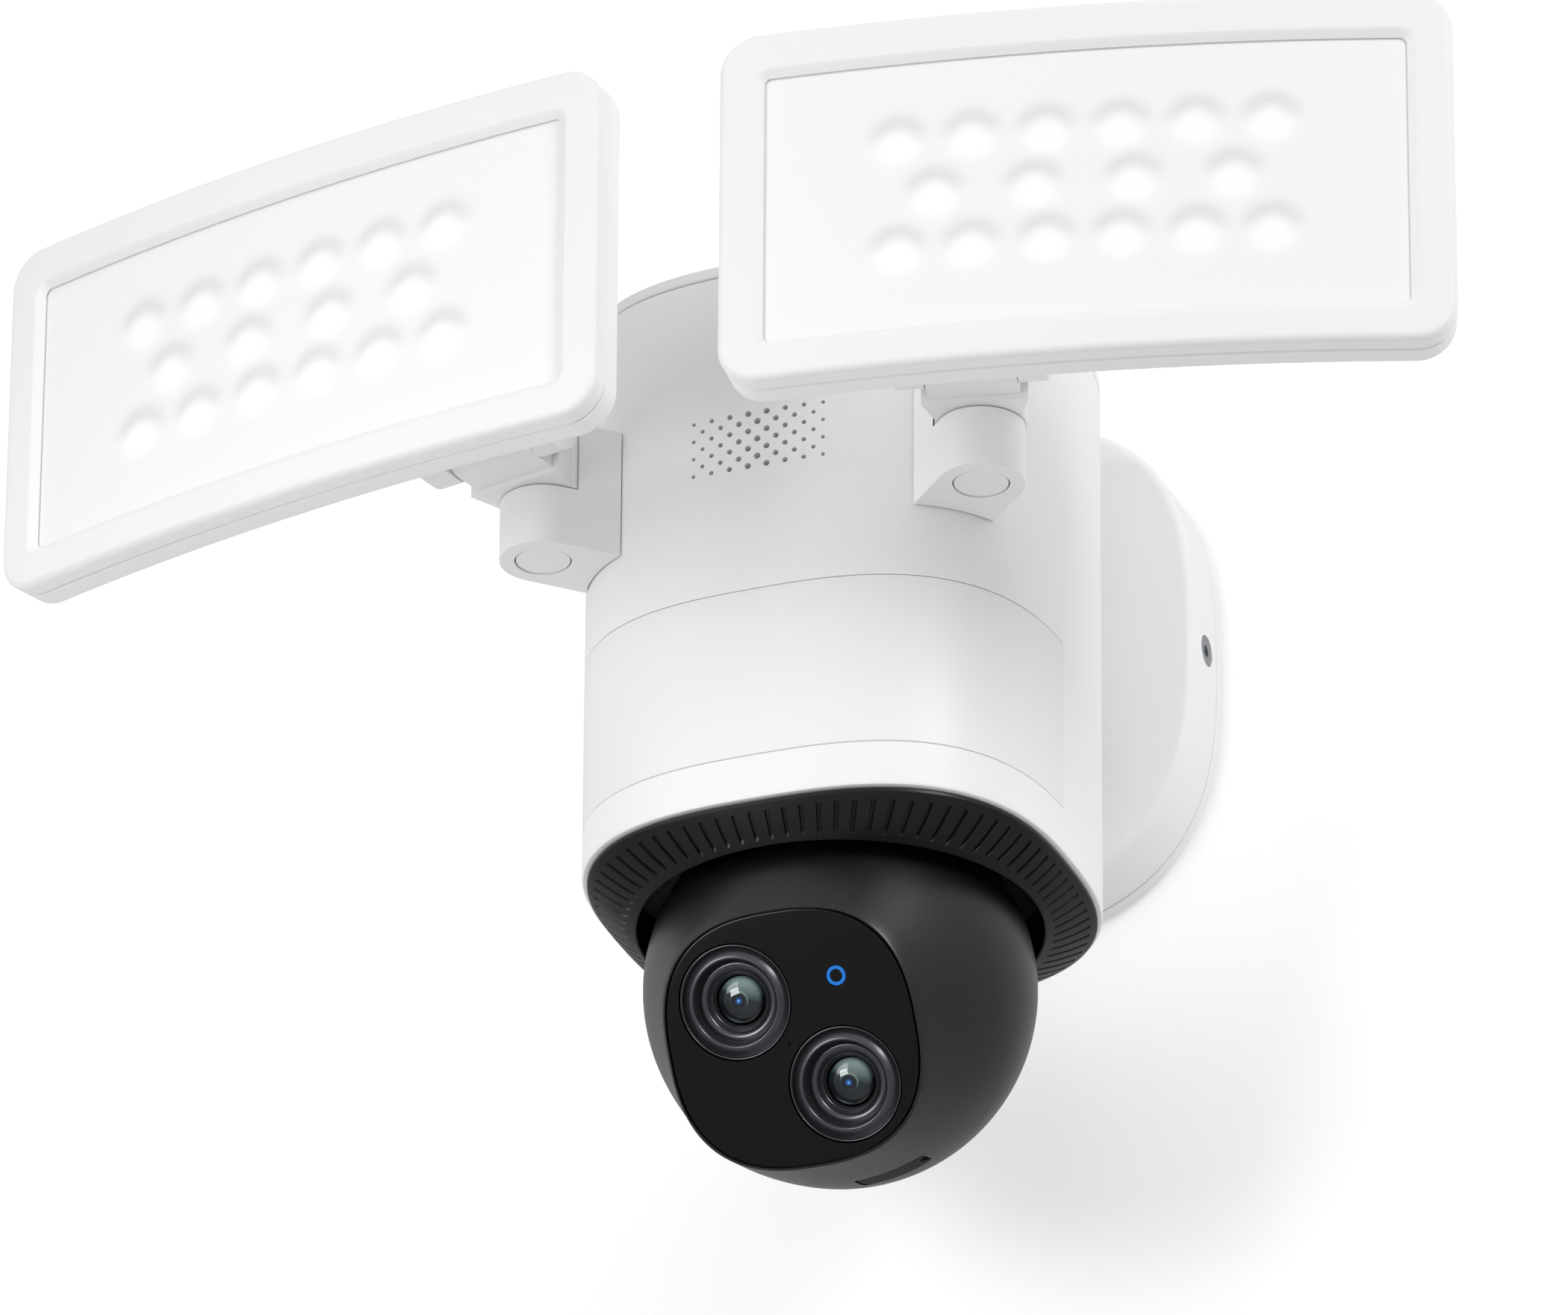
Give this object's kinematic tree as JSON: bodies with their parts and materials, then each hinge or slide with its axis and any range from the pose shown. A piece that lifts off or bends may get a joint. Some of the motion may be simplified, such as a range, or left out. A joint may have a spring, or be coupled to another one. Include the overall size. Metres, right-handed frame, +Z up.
{
  "type": "floodlight security camera",
  "caption": "Wall-mounted floodlight camera: squared canopy, tall rounded body with two hinged lamp heads and, under a grooved hood, a two-lens ball camera that pans and tilts.",
  "frame": {"origin": "centre of the wall bracket's back face, on the wall", "axes": "+Y into the wall, -Y the way the camera faces, +Z up, +X to the right of a viewer who faces the front"},
  "size_m": [0.339, 0.1931, 0.2251],
  "materials": {
    "housing_white": "moulded, fine satin texture",
    "window_white": "infrared-clear polythene, smooth satin",
    "frosted_diffuser": "opal, frosted",
    "charcoal_plastic": "moulded, satin",
    "gloss_black": "polished",
    "dark_rubber": "matt",
    "lens_glass": "coated, polished",
    "status_light_blue": "lit light guide",
    "steel": "zinc-plated",
    "circuit_board": "solder mask",
    "led_board_aluminium": "satin",
    "gear_nylon": "as moulded"
  },
  "bodies": {
    "root": {"wall_bracket": "steel", "wall_gasket": "dark_rubber", "canopy_rear_ring": "housing_white", "base_canopy": "housing_white", "locking_screw_right": "steel", "locking_screw_left": "steel", "wall_neck": "housing_white", "cable_gland": "dark_rubber", "body_shell": "housing_white", "top_cap": "housing_white", "sensor_window": "window_white", "hood_ring": "charcoal_plastic", "chassis": "charcoal_plastic", "speaker": "dark_rubber", "sensor_board": "circuit_board", "pir_sensor_centre": "steel", "pir_sensor_right": "steel", "pir_sensor_left": "steel", "main_board": "circuit_board", "power_board": "circuit_board", "pan_motor": "steel", "pan_bearing": "steel", "lamp_arm_right": "housing_white", "arm_plug_right": "housing_white", "lamp_arm_left": "housing_white", "arm_plug_left": "housing_white"},
    "swivel_right": {"swivel_knuckle_right": "housing_white", "hinge_pin_right": "steel"},
    "lamp_right": {"hinge_bracket_right": "housing_white", "lamp_rear_shell_right": "housing_white", "lamp_bezel_right": "housing_white", "lamp_diffuser_right": "frosted_diffuser", "led_board_right": "led_board_aluminium"},
    "swivel_left": {"swivel_knuckle_left": "housing_white", "hinge_pin_left": "steel"},
    "lamp_left": {"hinge_bracket_left": "housing_white", "lamp_rear_shell_left": "housing_white", "lamp_bezel_left": "housing_white", "lamp_diffuser_left": "frosted_diffuser", "led_board_left": "led_board_aluminium"},
    "pan": {"pan_carrier": "charcoal_plastic", "pan_gear": "gear_nylon", "tilt_motor": "steel"},
    "pan_drive": {"pan_pinion": "gear_nylon"},
    "tilt_drive": {"tilt_pinion": "gear_nylon"},
    "ball": {"ball_front_shell": "charcoal_plastic", "ball_rear_shell": "charcoal_plastic", "face_plate": "gloss_black", "lens_barrel_upper": "gloss_black", "lens_barrel_lower": "gloss_black", "lens_glass_upper": "lens_glass", "lens_glass_lower": "lens_glass", "status_light": "status_light_blue", "camera_board": "circuit_board", "tilt_gear": "gear_nylon", "tilt_axle_right": "steel", "tilt_axle_left": "steel"},
    "flap": {"service_flap": "dark_rubber"}
  },
  "joints": [
    {"name": "swivel_right_turn", "type": "hinge", "parent": "root", "child": "swivel_right", "pos_m": [0.05135, -0.13002, -0.001], "axis": [0, 0, 1], "range_deg": [-10, 50]},
    {"name": "lamp_right_tilt", "type": "hinge", "parent": "swivel_right", "child": "lamp_right", "pos_m": [0.05551, -0.14804, 0.00645], "axis": [0.9744, 0.225, 0], "range_deg": [-30, 45]},
    {"name": "swivel_left_turn", "type": "hinge", "parent": "root", "child": "swivel_left", "pos_m": [-0.05135, -0.13002, -0.001], "axis": [0, 0, 1], "range_deg": [-50, 10]},
    {"name": "lamp_left_tilt", "type": "hinge", "parent": "swivel_left", "child": "lamp_left", "pos_m": [-0.05551, -0.14804, 0.00645], "axis": [0.9744, -0.225, 0], "range_deg": [-30, 45]},
    {"name": "camera_pan", "type": "hinge", "parent": "root", "child": "pan", "pos_m": [0, -0.08, -0.0576], "axis": [0, 0, 1], "range_deg": [-170, 170]},
    {"name": "camera_tilt", "type": "hinge", "parent": "pan", "child": "ball", "pos_m": [0, -0.08, -0.1066], "axis": [1, 0, 0], "range_deg": [-15, 45]},
    {"name": "pan_pinion_spin", "type": "hinge", "parent": "root", "child": "pan_drive", "pos_m": [0, -0.05465, -0.0561], "axis": [0, 0, 1], "range_deg": [-520, 520]},
    {"name": "tilt_pinion_spin", "type": "hinge", "parent": "pan", "child": "tilt_drive", "pos_m": [-0.0247, -0.08, -0.09025], "axis": [1, 0, 0], "range_deg": [-140, 50]},
    {"name": "service_flap_open", "type": "hinge", "parent": "ball", "child": "flap", "pos_m": [0.00158, -0.07066, -0.14875], "axis": [0, 0.9763, 0.2164], "range_deg": [0, 80]}
  ],
  "couplings": [
    {"joint": "pan_pinion_spin", "follows": "camera_pan", "ratio": -3},
    {"joint": "tilt_pinion_spin", "follows": "camera_tilt", "ratio": -3}
  ]
}
